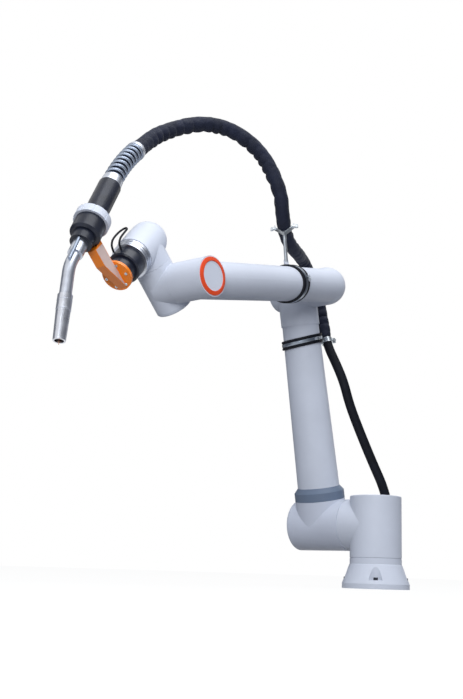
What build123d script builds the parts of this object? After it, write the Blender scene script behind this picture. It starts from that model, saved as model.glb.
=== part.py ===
from build123d import *
import os
from math import cos, pi, radians, sin, tan

os.makedirs("parts", exist_ok=True)

# Six-axis industrial robot arm with a welding torch and its dressed lead.
# The origin is the middle of the foot's underside, +Z is the first axis, +X is the way the arm reaches.

# Link lengths, from joint axis to joint axis
shoulder_height = 178
shoulder_offset = 180
upper_arm_length = 700
elbow_offset = 115
forearm_length = 610
wrist_offset = 104
wrist_rise = 115

# Pose that the pieces are drawn in, in degrees
arm_lean = 12.9
forearm_droop = 12.2
wrist_tip = 45.6
tool_turn = 8

# Gaps: between turning housings, and between a soft liner or lead and what it lies in
joint_gap = 0.5
seat_gap = 0.3

# Foot
foot_radius = 95
rim_height = 14
flare_height = 66
foot_height = 85
foot_turn = 30.6
bolt_count = 4
bolt_circle = 84
bolt_hole = 9
pocket_radius = 20
pocket_reach = 13
pocket_floor = 10
groove_depth = 1.2
groove_width = 2.5

# Shoulder
column_radius = 73.4
column_cover = 2.6
lid_height = 6
boss_radius = 72.4
boss_reach = 86.9
edge_round = 3

# Upper arm
hub_radius = 73.9
hub_end = 82
hub_cap_thickness = 8
cap_round = 6
neck_radius = 73.5
neck_height = 77
collar_base = 77.3
collar_shoulder = 101
collar_top = 115
arm_root_radius = 61.9
arm_tip_radius = 54.3
elbow_neck_length = 104
elbow_neck_radius = 57
elbow_hub_radius = 56
elbow_hub_reach = 57.2
elbow_hub_end = 66
elbow_cap_thickness = 8.5

# Forearm
elbow_radius = 55
elbow_dome_shift = 8
forearm_radius = 48.3
wrist_hub_radius = 50.5
wrist_hub_reach = 49
disc_reach = 59.3
ring_radius = 47.6
ring_bore = 37.2
ring_thickness = 2.4

# Wrist housings
wrist_radius = 47.9
wrist_cap_drop = 64
wrist_cap_thickness = 9
wrist_cap_round = 4
wrist_seam = 62
dome_shift = 31
wrist_face = 50
tool_hub_radius = 48.5

# Tool flange, sensor unit and torch bracket
flange_radius = 47
flange_groove = 2
flange_groove_places = (0.35, 0.7)
flange_top = 76
unit_radius = 41
unit_top = 112
unit_nose_radius = 33
unit_edge = 3
sensor_lead_radius = 2.6
sensor_lead_sink = 1
plate_base = 140
plate_thickness = 8
plate_radius = 38
plate_screws = 6
plate_screw_circle = 29
plate_screw_hole = 5.5
plate_screw_turn = 30
fin_width = 24
fin_front = 184
fin_back = 150
fin_foot = 34
fin_shoulder = 46
fin_top = 125

# Torch, in the plane of the tool axis and the last wrist housing's axis; distances run from the neck's bend
torch_lean = 13.5
nozzle_lean = 33.7
bend_along = 279.5
bend_out = 103.5
gooseneck_bend = 100
gooseneck_radius = 14
neck_block_radius = 18
neck_block_end = 38
nut_end = 76
nut_radius = 26.5
socket_end = 100
socket_radius = 37
socket_edge = 6
mount_end = 146
mount_radius = 43
notch_count = 8
notch_width = 4
notch_depth = 1.5
grip_end = 168
grip_radius = 28
ferrule_end = 286
ferrule_radius = 26
spring_end = 300
nozzle_start = 74
nozzle_radius = 16.8
nozzle_step = 112
nozzle_taper = 0.6
nozzle_end = 184
nozzle_mouth_radius = 14.4
nozzle_bore = 10.5
nozzle_bore_depth = 40
tip_radius = 4
tip_end = 178
wire_radius = 0.8
wire_end = 193

# Bend spring behind the torch: a rubber core with round coils, on an arc
spring_length = 168
spring_bend = 17
spring_core = 21.4
spring_coils = 9
coil_radius = 4.2

# Lead: fabric sleeve over the loop, bare lead below the elbow
sleeve_radius = 20
over_radius = 18
lead_radius = 14
loop_lead = 30
arc_share = 0.45
plug_radius = 22
plug_nut_radius = 24
plug_length = 94.5
plug_nut_length = 38

# Clamps: a steel band over a rubber liner, cut slanting as they sit on the tubes
liner_thickness = 3
band_thickness = 2.2
band_width = 18
liner_width = 25
arm_clamp_drop = 48
arm_clamp_skew = 7
forearm_clamp_station = 207
forearm_clamp_skew = 16
clip_width = 16
clip_thickness = 3
clip_slack = 0.6
clip_drop = 12
strap_thickness = 5
bolt_radius = 4
bolt_head_radius = 6.5
bolt_head_height = 5
fork_drop = 62
fork_rise = 7
stem_radius = 5
clamp_slack = 40
fork_thickness = 3.5
fork_width = 15
fork_slack = 1
wing_screw_reach = 12
wing_width = 8
wing_span = 18
wing_thickness = 4

# Directions and joint centres
across = Vector(0, 1, 0)
up = Vector(0, 0, 1)
arm_dir = Vector(sin(radians(arm_lean)), 0, cos(radians(arm_lean)))
forearm_dir = Vector(cos(radians(forearm_droop)), 0, -sin(radians(forearm_droop)))
wrist_dir = Vector(sin(radians(wrist_tip)), 0, cos(radians(wrist_tip)))
front_dir = Vector(cos(radians(wrist_tip)), 0, -sin(radians(wrist_tip)))
tool_dir = front_dir * cos(radians(tool_turn)) + across * sin(radians(tool_turn))

shoulder_centre = Vector(0, -shoulder_offset, shoulder_height)
elbow_centre = shoulder_centre + arm_dir * upper_arm_length
forearm_centre = elbow_centre + across * elbow_offset
wrist_centre = forearm_centre + forearm_dir * forearm_length
wrist1_centre = wrist_centre - across * wrist_offset
tool_centre = wrist1_centre + wrist_dir * wrist_rise

# Ends that follow the joint centres
column_top = shoulder_height + boss_radius + column_cover + lid_height
arm_tip = upper_arm_length - elbow_neck_length
arm_clamp_station = arm_tip - arm_clamp_drop

# Planes whose z runs along each axis or link
boss_plane = Plane(origin=(0, 0, shoulder_height), x_dir=(1, 0, 0), z_dir=-across)
hub_plane = Plane(origin=shoulder_centre, x_dir=(1, 0, 0), z_dir=across)
arm_plane = Plane(origin=shoulder_centre, x_dir=across, z_dir=arm_dir)
elbow_plane = Plane(origin=elbow_centre, x_dir=(1, 0, 0), z_dir=across)
forearm_plane = Plane(origin=forearm_centre, x_dir=across, z_dir=forearm_dir)
bend_plane = Plane(origin=forearm_centre, x_dir=(1, 0, 0), z_dir=across)
wrist_hub_plane = Plane(origin=wrist_centre, x_dir=(1, 0, 0), z_dir=across)
wrist1_hub_plane = Plane(origin=wrist1_centre, x_dir=(1, 0, 0), z_dir=across)
wrist1_plane = Plane(origin=wrist1_centre, x_dir=across, z_dir=wrist_dir)
tool_plane = Plane(origin=tool_centre, x_dir=wrist_dir, z_dir=tool_dir)

# The torch's own axes: one along the grip and neck, one along the nozzle
torch_dir = tool_dir * cos(radians(torch_lean)) - wrist_dir * sin(radians(torch_lean))
torch_out = wrist_dir * cos(radians(torch_lean)) + tool_dir * sin(radians(torch_lean))
nozzle_dir = tool_dir * cos(radians(nozzle_lean)) - wrist_dir * sin(radians(nozzle_lean))
nozzle_out = wrist_dir * cos(radians(nozzle_lean)) + tool_dir * sin(radians(nozzle_lean))
bend_point = tool_centre + tool_dir * bend_along + wrist_dir * bend_out
torch_plane = Plane(origin=bend_point, x_dir=torch_out, z_dir=torch_dir)
nozzle_plane = Plane(origin=bend_point, x_dir=nozzle_out, z_dir=nozzle_dir)


def section_of(plane):
    # The plane through a turned piece's axis: x is out from the axis, y is along it
    return Plane(origin=plane.origin, x_dir=plane.x_dir, z_dir=-plane.y_dir)


def axis_of(plane):
    return Axis(plane.origin, plane.z_dir)


def finish(part, name):
    part.label = name
    export_step(part, f"parts/{name}.step")


# Foot: a flared base with four bolt pockets and a groove under the turning column
with BuildPart() as base_foot:
    with BuildSketch(section_of(Plane.XY)):
        with BuildLine():
            Polyline(
                (0, 0),
                (foot_radius, 0),
                (foot_radius, rim_height),
                (column_radius + groove_depth, flare_height),
                (column_radius, flare_height + groove_depth),
                (column_radius, foot_height - groove_width),
                (column_radius - groove_depth, foot_height - groove_width),
                (column_radius - groove_depth, foot_height),
                (0, foot_height),
                close=True,
            )
        make_face()
    revolve(axis=Axis.Z)
    with BuildSketch(Plane.XY.offset(rim_height + pocket_floor)):
        with PolarLocations(bolt_circle + pocket_reach, bolt_count, start_angle=foot_turn):
            Circle(pocket_radius)
    extrude(amount=flare_height - rim_height - pocket_floor, mode=Mode.SUBTRACT)
    with BuildSketch(Plane.XY):
        with PolarLocations(bolt_circle, bolt_count, start_angle=foot_turn):
            Circle(bolt_hole / 2)
    extrude(amount=rim_height + pocket_floor, mode=Mode.SUBTRACT)
finish(base_foot.part, "base_foot")

# Shoulder: the column that turns on the foot, with the boss that carries the upper arm
with BuildPart() as shoulder_body:
    with BuildSketch(Plane.XY.offset(foot_height + joint_gap)):
        Circle(column_radius)
    extrude(amount=column_top - lid_height - foot_height - joint_gap)
    with BuildSketch(boss_plane):
        Circle(boss_radius)
    extrude(amount=boss_reach)
finish(shoulder_body.part, "shoulder_body")

with BuildPart() as shoulder_lid:
    with BuildSketch(Plane.XY.offset(column_top - lid_height)):
        Circle(column_radius)
    extrude(amount=lid_height)
    fillet(shoulder_lid.edges().group_by(Axis.Z)[-1], edge_round)
finish(shoulder_lid.part, "shoulder_lid")

# Upper arm: hub on the shoulder axis, neck, collar, tapered tube and elbow housing
hub_start = shoulder_offset - boss_reach - joint_gap
with BuildPart() as upper_arm_hub:
    with BuildSketch(hub_plane.offset(hub_start)):
        Circle(hub_radius)
    extrude(amount=-(hub_start + hub_end - hub_cap_thickness))
    with BuildSketch(arm_plane):
        Circle(neck_radius)
    extrude(amount=neck_height)
finish(upper_arm_hub.part, "upper_arm_hub")

with BuildPart() as hub_cap:
    with BuildSketch(hub_plane.offset(hub_cap_thickness - hub_end)):
        Circle(hub_radius)
    extrude(amount=-hub_cap_thickness)
    fillet(hub_cap.edges().group_by(Axis.Y)[0], cap_round)
finish(hub_cap.part, "hub_cap")

with BuildPart() as arm_collar:
    with BuildSketch(section_of(arm_plane)):
        with BuildLine():
            Polyline(
                (0, collar_base),
                (neck_radius, collar_base),
                (neck_radius, collar_shoulder),
                (arm_root_radius, collar_top),
                (0, collar_top),
                close=True,
            )
        make_face()
    revolve(axis=axis_of(arm_plane))
finish(arm_collar.part, "arm_collar")

with BuildPart() as upper_arm_tube:
    with BuildSketch(arm_plane.offset(collar_top)):
        Circle(arm_root_radius)
    with BuildSketch(arm_plane.offset(arm_tip)):
        Circle(arm_tip_radius)
    loft()
finish(upper_arm_tube.part, "upper_arm_tube")

with BuildPart() as elbow_housing:
    with BuildSketch(arm_plane.offset(arm_tip)):
        Circle(elbow_neck_radius)
    extrude(amount=upper_arm_length - arm_tip)
    with BuildSketch(elbow_plane.offset(elbow_hub_reach)):
        Circle(elbow_hub_radius)
    extrude(amount=-(elbow_hub_reach + elbow_hub_end - elbow_cap_thickness))
finish(elbow_housing.part, "elbow_housing")

with BuildPart() as elbow_cap:
    with BuildSketch(elbow_plane.offset(elbow_cap_thickness - elbow_hub_end)):
        Circle(elbow_hub_radius)
    extrude(amount=-elbow_cap_thickness)
    fillet(elbow_cap.edges().group_by(Axis.Y)[0], cap_round)
finish(elbow_cap.part, "elbow_cap")

# Forearm: rounded elbow, tube and the housing that carries the wrist
elbow_start = elbow_offset - elbow_hub_reach - joint_gap
elbow_stub = elbow_radius + seat_gap
with BuildPart() as elbow_body:
    with BuildSketch(section_of(bend_plane)):
        with BuildLine():
            Line((0, -elbow_start), (elbow_radius, -elbow_start))
            Line((elbow_radius, -elbow_start), (elbow_radius, -elbow_dome_shift))
            RadiusArc((elbow_radius, -elbow_dome_shift), (0, elbow_radius - elbow_dome_shift), -elbow_radius)
            Line((0, elbow_radius - elbow_dome_shift), (0, -elbow_start))
        make_face()
    revolve(axis=axis_of(bend_plane))
    with BuildSketch(forearm_plane):
        Circle(forearm_radius)
    extrude(amount=elbow_stub)
finish(elbow_body.part, "elbow_body")

wrist_stub = forearm_length - wrist_hub_radius - seat_gap
with BuildPart() as forearm_tube:
    with BuildSketch(forearm_plane.offset(elbow_stub)):
        Circle(forearm_radius)
    extrude(amount=wrist_stub - elbow_stub)
finish(forearm_tube.part, "forearm_tube")

with BuildPart() as wrist_housing:
    with BuildSketch(wrist_hub_plane.offset(disc_reach - ring_thickness)):
        Circle(wrist_hub_radius)
    extrude(amount=-(wrist_hub_reach + disc_reach - ring_thickness))
    with BuildSketch(forearm_plane.offset(wrist_stub)):
        Circle(forearm_radius)
    extrude(amount=forearm_length - wrist_stub)
finish(wrist_housing.part, "wrist_housing")

with BuildPart() as accent_ring:
    with BuildSketch(wrist_hub_plane.offset(disc_reach - ring_thickness)):
        Circle(ring_radius)
        Circle(ring_bore, mode=Mode.SUBTRACT)
    extrude(amount=ring_thickness)
finish(accent_ring.part, "accent_ring")

with BuildPart() as end_disc:
    with BuildSketch(wrist_hub_plane.offset(disc_reach - ring_thickness)):
        Circle(ring_bore - seat_gap)
    extrude(amount=ring_thickness)
finish(end_disc.part, "end_disc")

# First wrist housing: turns about the forearm's end and carries the second one
with BuildPart() as wrist1_body:
    with BuildSketch(wrist1_hub_plane.offset(wrist_offset - wrist_hub_reach - joint_gap)):
        Circle(wrist_hub_radius)
    extrude(amount=-(wrist_offset - wrist_hub_reach - joint_gap))
    with BuildSketch(wrist1_plane.offset(wrist_cap_thickness - wrist_cap_drop)):
        Circle(wrist_radius)
    extrude(amount=wrist_seam + wrist_cap_drop - wrist_cap_thickness)
finish(wrist1_body.part, "wrist1_body")

with BuildPart() as wrist1_cap:
    with BuildSketch(wrist1_plane.offset(-wrist_cap_drop)):
        Circle(wrist_radius)
    extrude(amount=wrist_cap_thickness)
    fillet(wrist1_cap.edges().sort_by(axis_of(wrist1_plane))[0], wrist_cap_round)
finish(wrist1_cap.part, "wrist1_cap")

# Second wrist housing: a domed barrel across the first one's axis
with BuildPart() as wrist2_body:
    with BuildSketch(section_of(tool_plane)):
        with BuildLine():
            Line((0, wrist_face), (tool_hub_radius, wrist_face))
            Line((tool_hub_radius, wrist_face), (tool_hub_radius, -dome_shift))
            RadiusArc((tool_hub_radius, -dome_shift), (0, -dome_shift - tool_hub_radius), tool_hub_radius)
            Line((0, -dome_shift - tool_hub_radius), (0, wrist_face))
        make_face()
    revolve(axis=axis_of(tool_plane))
    with BuildSketch(wrist1_plane.offset(wrist_seam + joint_gap)):
        Circle(wrist_radius)
    extrude(amount=wrist_rise - wrist_seam - joint_gap)
finish(wrist2_body.part, "wrist2_body")

# Tool flange and the sensor unit bolted to it
flange_base = wrist_face + joint_gap
with BuildPart() as flange_ring:
    with BuildSketch(tool_plane.offset(flange_base)):
        Circle(flange_radius)
    extrude(amount=flange_top - flange_base)
    for place in flange_groove_places:
        with BuildSketch(tool_plane.offset(flange_base + place * (flange_top - flange_base))):
            Circle(flange_radius)
            Circle(flange_radius - flange_groove, mode=Mode.SUBTRACT)
        extrude(amount=flange_groove, mode=Mode.SUBTRACT)
finish(flange_ring.part, "flange_ring")

with BuildPart() as sensor_unit:
    with BuildSketch(tool_plane.offset(flange_top)):
        Circle(unit_radius)
    extrude(amount=unit_top - flange_top)
    chamfer(sensor_unit.edges().sort_by(axis_of(tool_plane))[-1], unit_edge)
    with BuildSketch(tool_plane.offset(unit_top)):
        Circle(unit_nose_radius)
    extrude(amount=plate_base - unit_top)
finish(sensor_unit.part, "sensor_unit")

# Torch bracket: a screwed plate with a fin that rises to the torch's socket
with BuildPart() as torch_bracket:
    with BuildSketch(tool_plane.offset(plate_base)):
        Circle(plate_radius)
        with PolarLocations(plate_screw_circle, plate_screws, start_angle=plate_screw_turn):
            Circle(plate_screw_hole / 2, mode=Mode.SUBTRACT)
    extrude(amount=plate_thickness)
    with BuildSketch(section_of(tool_plane)):
        with BuildLine():
            Polyline(
                (-fin_foot, plate_base + plate_thickness),
                (fin_shoulder, fin_front),
                (fin_top, fin_front),
                (fin_top, fin_back),
                (plate_radius, fin_back),
                (plate_radius - plate_thickness, plate_base + plate_thickness),
                close=True,
            )
        make_face()
    extrude(amount=fin_width / 2, both=True)
    with BuildSketch(torch_plane.offset(-mount_end)):
        Circle(socket_radius + seat_gap)
    extrude(amount=mount_end, mode=Mode.SUBTRACT)
finish(torch_bracket.part, "torch_bracket")

# Torch: socket, mount ring, grip, neck and nozzle, each turned about the torch's axis
with BuildPart() as torch_socket:
    with BuildSketch(torch_plane.offset(-mount_end)):
        Circle(socket_radius)
    extrude(amount=mount_end - socket_end)
    chamfer(torch_socket.edges().sort_by(axis_of(torch_plane))[-1], socket_edge)
finish(torch_socket.part, "torch_socket")

with BuildPart() as socket_nut:
    with BuildSketch(torch_plane.offset(-socket_end)):
        Circle(nut_radius)
    extrude(amount=socket_end - nut_end)
finish(socket_nut.part, "socket_nut")

with BuildPart() as mount_ring:
    with BuildSketch(torch_plane.offset(-grip_end)):
        Circle(mount_radius)
        with PolarLocations(mount_radius, notch_count):
            Rectangle(2 * notch_depth, notch_width, mode=Mode.SUBTRACT)
    extrude(amount=grip_end - mount_end)
finish(mount_ring.part, "mount_ring")

with BuildPart() as torch_grip:
    with BuildSketch(torch_plane.offset(-ferrule_end)):
        Circle(grip_radius)
    extrude(amount=ferrule_end - grip_end)
finish(torch_grip.part, "torch_grip")

with BuildPart() as grip_ferrule:
    with BuildSketch(torch_plane.offset(-spring_end)):
        Circle(ferrule_radius)
    extrude(amount=spring_end - ferrule_end)
finish(grip_ferrule.part, "grip_ferrule")

with BuildPart() as neck_block:
    with BuildSketch(torch_plane.offset(-nut_end)):
        Circle(neck_block_radius)
    extrude(amount=nut_end - neck_block_end)
finish(neck_block.part, "neck_block")

with BuildPart() as torch_neck:
    with BuildLine() as neck_path:
        FilletPolyline(
            bend_point - torch_dir * neck_block_end,
            bend_point,
            bend_point + nozzle_dir * nozzle_start,
            radius=gooseneck_bend,
        )
    with BuildSketch(torch_plane.offset(-neck_block_end)):
        Circle(gooseneck_radius)
    sweep(path=neck_path.line)
finish(torch_neck.part, "torch_neck")

with BuildPart() as gas_nozzle:
    with BuildSketch(section_of(nozzle_plane)):
        with BuildLine():
            Polyline(
                (0, nozzle_start),
                (nozzle_radius, nozzle_start),
                (nozzle_radius, nozzle_step),
                (nozzle_radius - nozzle_taper, nozzle_step),
                (nozzle_mouth_radius, nozzle_end),
                (nozzle_bore, nozzle_end),
                (nozzle_bore, nozzle_end - nozzle_bore_depth),
                (0, nozzle_end - nozzle_bore_depth),
                close=True,
            )
        make_face()
    revolve(axis=axis_of(nozzle_plane))
finish(gas_nozzle.part, "gas_nozzle")

with BuildPart() as contact_tip:
    with BuildSketch(nozzle_plane.offset(nozzle_end - nozzle_bore_depth)):
        Circle(tip_radius)
    extrude(amount=tip_end - nozzle_end + nozzle_bore_depth)
    with BuildSketch(nozzle_plane.offset(tip_end)):
        Circle(wire_radius)
    extrude(amount=wire_end - tip_end)
finish(contact_tip.part, "contact_tip")

# Bend spring: its core follows an arc that leads from the grip into the loop
spring_radius = spring_length / radians(spring_bend)
spring_start = bend_point - torch_dir * spring_end
spring_centre = spring_start - torch_out * spring_radius


def on_spring(angle):
    outward = torch_out * cos(radians(angle)) - torch_dir * sin(radians(angle))
    along = -torch_dir * cos(radians(angle)) - torch_out * sin(radians(angle))
    return Plane(origin=spring_centre + outward * spring_radius, x_dir=outward, z_dir=along)


with BuildPart() as bend_spring:
    with BuildLine() as spring_path:
        ThreePointArc(
            on_spring(0).origin,
            on_spring(spring_bend / 2).origin,
            on_spring(spring_bend).origin,
        )
    with BuildSketch(on_spring(0)):
        Circle(spring_core)
    sweep(path=spring_path.line)
    for coil in range(spring_coils):
        with Locations(on_spring(spring_bend * (coil + 0.5) / spring_coils)):
            Torus(spring_core, coil_radius)
finish(bend_spring.part, "bend_spring")


# The lead: hand-set points of each span, with arcs as large as the runs allow
def arc_radii(points):
    radii = []
    for before, here, after in zip(points, points[1:], points[2:]):
        turn = radians((here - before).get_angle(after - here))
        shorter = min((here - before).length, (after - here).length)
        radii.append(arc_share * shorter / tan(turn / 2))
    return radii


def report_cord(name, part, points, radii, radius):
    line = FilletPolyline(*points, radius=radii, mode=Mode.PRIVATE)
    length = line.length
    print(f"{name}: length {length:.0f}, least radius {min(radii):.0f},"
          f" volume {part.volume / (length * pi * radius ** 2):.4f} of section times length")


loop_start = on_spring(spring_bend)
loop_points = [
    loop_start.origin,
    loop_start.origin + loop_start.z_dir * loop_lead,
    forearm_centre + Vector(623, -134, 273),
    forearm_centre + Vector(573, -127, 307),
    forearm_centre + Vector(521, -113, 337),
    forearm_centre + Vector(467, -92, 357),
    forearm_centre + Vector(411, -66, 358),
    forearm_centre + Vector(362, -35, 336),
    forearm_centre + Vector(325, -7, 295),
    forearm_centre + Vector(301, 13, 243),
    forearm_centre + Vector(281, 26, 186),
]
over_points = [
    forearm_centre + Vector(256, 15, 131),
    forearm_centre + Vector(214, -4, 89),
    forearm_centre + Vector(157, -23, 73),
    forearm_centre + Vector(102, -49, 76),
    forearm_centre + Vector(51, -80, 88),
    forearm_centre + Vector(-5, -106, 93),
    forearm_centre + Vector(-60, -122, 70),
    forearm_centre + Vector(-102, -124, 24),
    forearm_centre + Vector(-120, -113, -34),
    forearm_centre + Vector(-122, -97, -93),
]
drop_points = [
    forearm_centre + Vector(-118, -78, -151),
    forearm_centre + Vector(-117, -55, -207),
    shoulder_centre + Vector(31, 85, 420),
    shoulder_centre + Vector(6, 100, 356),
    shoulder_centre + Vector(-22, 117, 292),
    shoulder_centre + Vector(-62, 141, 192),
    shoulder_centre + Vector(-95, 159, 107),
]
foot_points = [
    Vector(-118, -25, 215),
    Vector(-126, -28, 150),
    Vector(-126, -28, 95),
]

# Each span meets the next one half-way along the run between them
spans = [
    ("sleeve_loop", loop_points, sleeve_radius),
    ("sleeve_over", over_points, over_radius),
    ("lead_drop", drop_points, lead_radius),
    ("lead_foot", foot_points, lead_radius),
]
whole_route = loop_points + over_points + drop_points + foot_points
whole_radii = arc_radii(whole_route)
joins = [(before[1][-1] + after[1][0]) / 2 for before, after in zip(spans, spans[1:])]
starts = [loop_points[0]] + joins
ends = joins + [foot_points[-1]]

routes = {}
for (name, own_points, radius), start, end in zip(spans, starts, ends):
    inner = [point for point in own_points if point not in (start, end)]
    points = [start] + inner + [end]
    radii = [whole_radii[whole_route.index(point) - 1] for point in inner]
    with BuildPart() as cord:
        with BuildLine() as route:
            FilletPolyline(*points, radius=radii)
        with BuildSketch(Plane(origin=points[0], z_dir=points[1] - points[0])):
            Circle(radius)
        sweep(path=route.wires()[0])
    routes[name] = route.wires()[0]
    report_cord(name, cord.part, points, radii, radius)
    finish(cord.part, name)

# Plug on the lead's machine end, standing behind the foot
plug_plane = Plane(origin=foot_points[-1], z_dir=-up)
with BuildPart() as lead_plug:
    with BuildSketch(plug_plane):
        Circle(plug_radius)
    extrude(amount=plug_length - plug_nut_length)
    with BuildSketch(plug_plane.offset(plug_length - plug_nut_length)):
        Circle(plug_nut_radius)
    extrude(amount=plug_nut_length)
finish(lead_plug.part, "lead_plug")

# Clamps on the two tubes: rubber liner and steel band, both cut by the same slanting slab
arm_clamp_normal = arm_dir * cos(radians(arm_clamp_skew)) + Vector(1, -1, 0).normalized() * sin(
    radians(arm_clamp_skew)
)
forearm_clamp_normal = forearm_dir * cos(radians(forearm_clamp_skew)) + across * sin(
    radians(forearm_clamp_skew)
)


def arm_radius_at(station):
    share = (station - collar_top) / (arm_tip - collar_top)
    return arm_root_radius + (arm_tip_radius - arm_root_radius) * share


arm_clamp_bore = arm_radius_at(arm_clamp_station - liner_width) + seat_gap
forearm_clamp_bore = forearm_radius + seat_gap


def slanted_ring(plane, station, normal, bore, thickness, width):
    centre = plane.origin + plane.z_dir * station
    with BuildPart() as ring:
        with BuildSketch(plane.offset(station - clamp_slack)):
            Circle(bore + thickness)
            Circle(bore, mode=Mode.SUBTRACT)
        extrude(amount=2 * clamp_slack)
        with BuildSketch(Plane(origin=centre - normal * width / 2, z_dir=normal)):
            Circle(2 * bore)
        extrude(amount=width, mode=Mode.INTERSECT)
    return ring.part


arm_clamp = (arm_plane, arm_clamp_station, arm_clamp_normal)
forearm_clamp = (forearm_plane, forearm_clamp_station, forearm_clamp_normal)
finish(slanted_ring(*arm_clamp, arm_clamp_bore, liner_thickness, liner_width), "arm_clamp_liner")
finish(slanted_ring(*forearm_clamp, forearm_clamp_bore, liner_thickness, liner_width), "forearm_clamp_liner")
arm_band_bore = arm_clamp_bore + liner_thickness
forearm_band_bore = forearm_clamp_bore + liner_thickness
finish(slanted_ring(*arm_clamp, arm_band_bore, band_thickness, band_width), "arm_clamp_band")
finish(slanted_ring(*forearm_clamp, forearm_band_bore, band_thickness, band_width), "forearm_clamp_band")
arm_band_outer = arm_band_bore + band_thickness
forearm_band_outer = forearm_band_bore + band_thickness

# Clip that holds the lead beside the upper arm: a ring on the lead and a strap to the band
clip_centre = routes["lead_drop"].position_at(clip_drop, position_mode=PositionMode.LENGTH)
clip_dir = routes["lead_drop"].tangent_at(clip_drop, position_mode=PositionMode.LENGTH)
clip_foot = arm_plane.origin + arm_dir * (clip_centre - arm_plane.origin).dot(arm_dir)
clip_out = (clip_centre - clip_foot).normalized()
clip_bore = lead_radius + clip_slack
clip_outer = clip_bore + clip_thickness
clip_reach = (clip_centre - clip_foot).length
clip_plane = Plane(origin=clip_centre, x_dir=clip_out, z_dir=clip_out.cross(clip_dir))
bolt_places = [-clip_outer - bolt_head_radius, clip_outer + bolt_head_radius]
with BuildPart() as lead_clip:
    with BuildSketch(Plane(origin=clip_centre - clip_dir * clip_width / 2, z_dir=clip_dir)):
        Circle(clip_outer)
    extrude(amount=clip_width)
    with BuildSketch(clip_plane):
        with Locations((-clip_reach / 2 + clip_outer / 2 + bolt_head_radius, 0)):
            Rectangle(clip_reach + clip_outer + 2 * bolt_head_radius, clip_width)
    extrude(amount=strap_thickness / 2, both=True)
    with BuildSketch(clip_plane):
        with Locations(*[(place, 0) for place in bolt_places]):
            Circle(bolt_radius + seat_gap)
    extrude(amount=strap_thickness, both=True, mode=Mode.SUBTRACT)
    with BuildSketch(Plane(origin=clip_centre - clip_dir * clip_width, z_dir=clip_dir)):
        Circle(clip_bore)
    extrude(amount=2 * clip_width, mode=Mode.SUBTRACT)
    with BuildSketch(arm_plane.offset(arm_clamp_station - 2 * clamp_slack)):
        Circle(arm_band_outer)
    extrude(amount=4 * clamp_slack, mode=Mode.SUBTRACT)
finish(lead_clip.part, "lead_clip")

with BuildPart() as clip_bolts:
    with BuildSketch(clip_plane):
        with Locations(*[(place, 0) for place in bolt_places]):
            Circle(bolt_radius)
    extrude(amount=strap_thickness / 2, both=True)
    for side in (1, -1):
        with BuildSketch(clip_plane.offset(side * strap_thickness / 2)):
            with Locations(*[(place, 0) for place in bolt_places]):
                RegularPolygon(bolt_head_radius, 6)
        extrude(amount=side * bolt_head_height)
finish(clip_bolts.part, "clip_bolts")

# Cradle above the forearm: stem, fork under the sleeve and a wing screw at each side
forearm_up = across.cross(-forearm_dir)
cradle_point = routes["sleeve_over"].position_at(fork_drop, position_mode=PositionMode.LENGTH)
fork_face = routes["sleeve_over"].tangent_at(fork_drop, position_mode=PositionMode.LENGTH)
fork_up = (forearm_up - fork_face * forearm_up.dot(fork_face)).normalized()
fork_plane = Plane(origin=cradle_point, x_dir=fork_up.cross(fork_face), z_dir=fork_face)
fork_bore = over_radius + fork_slack
fork_outer = fork_bore + fork_thickness
with BuildPart() as cradle_fork:
    with BuildSketch(fork_plane.offset(-fork_width / 2)):
        Circle(fork_outer)
        Circle(fork_bore, mode=Mode.SUBTRACT)
        with Locations((0, fork_outer + fork_rise)):
            Rectangle(4 * fork_outer, 2 * fork_outer, mode=Mode.SUBTRACT)
    extrude(amount=fork_width)
finish(cradle_fork.part, "cradle_fork")

band_top = forearm_centre + forearm_dir * forearm_clamp_station + forearm_up * forearm_band_outer
stem_dir = (cradle_point - fork_up * fork_outer - band_top).normalized()
with BuildPart() as cradle_stem:
    with BuildSketch(Plane(origin=band_top - stem_dir * forearm_band_outer, z_dir=stem_dir)):
        Circle(stem_radius)
    extrude(amount=(cradle_point - fork_up * fork_bore - band_top).length + forearm_band_outer)
    with BuildSketch(fork_plane.offset(-fork_outer)):
        Circle(fork_outer)
    extrude(amount=2 * fork_outer, mode=Mode.SUBTRACT)
    with BuildSketch(forearm_plane.offset(forearm_clamp_station - clamp_slack)):
        Circle(forearm_band_outer)
    extrude(amount=2 * clamp_slack, mode=Mode.SUBTRACT)
finish(cradle_stem.part, "cradle_stem")

with BuildPart() as cradle_screws:
    for side in (1, -1):
        screw_dir = fork_plane.x_dir * side
        screw_seat = cradle_point + screw_dir * fork_outer
        wing_plane = Plane(origin=screw_seat + screw_dir * wing_screw_reach, x_dir=fork_up, z_dir=fork_face)
        with BuildSketch(Plane(origin=screw_seat, z_dir=screw_dir)):
            Circle(bolt_radius)
        extrude(amount=wing_screw_reach)
        with BuildSketch(wing_plane):
            SlotOverall(wing_span, wing_width)
        extrude(amount=wing_thickness / 2, both=True)
finish(cradle_screws.part, "cradle_screws")

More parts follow.
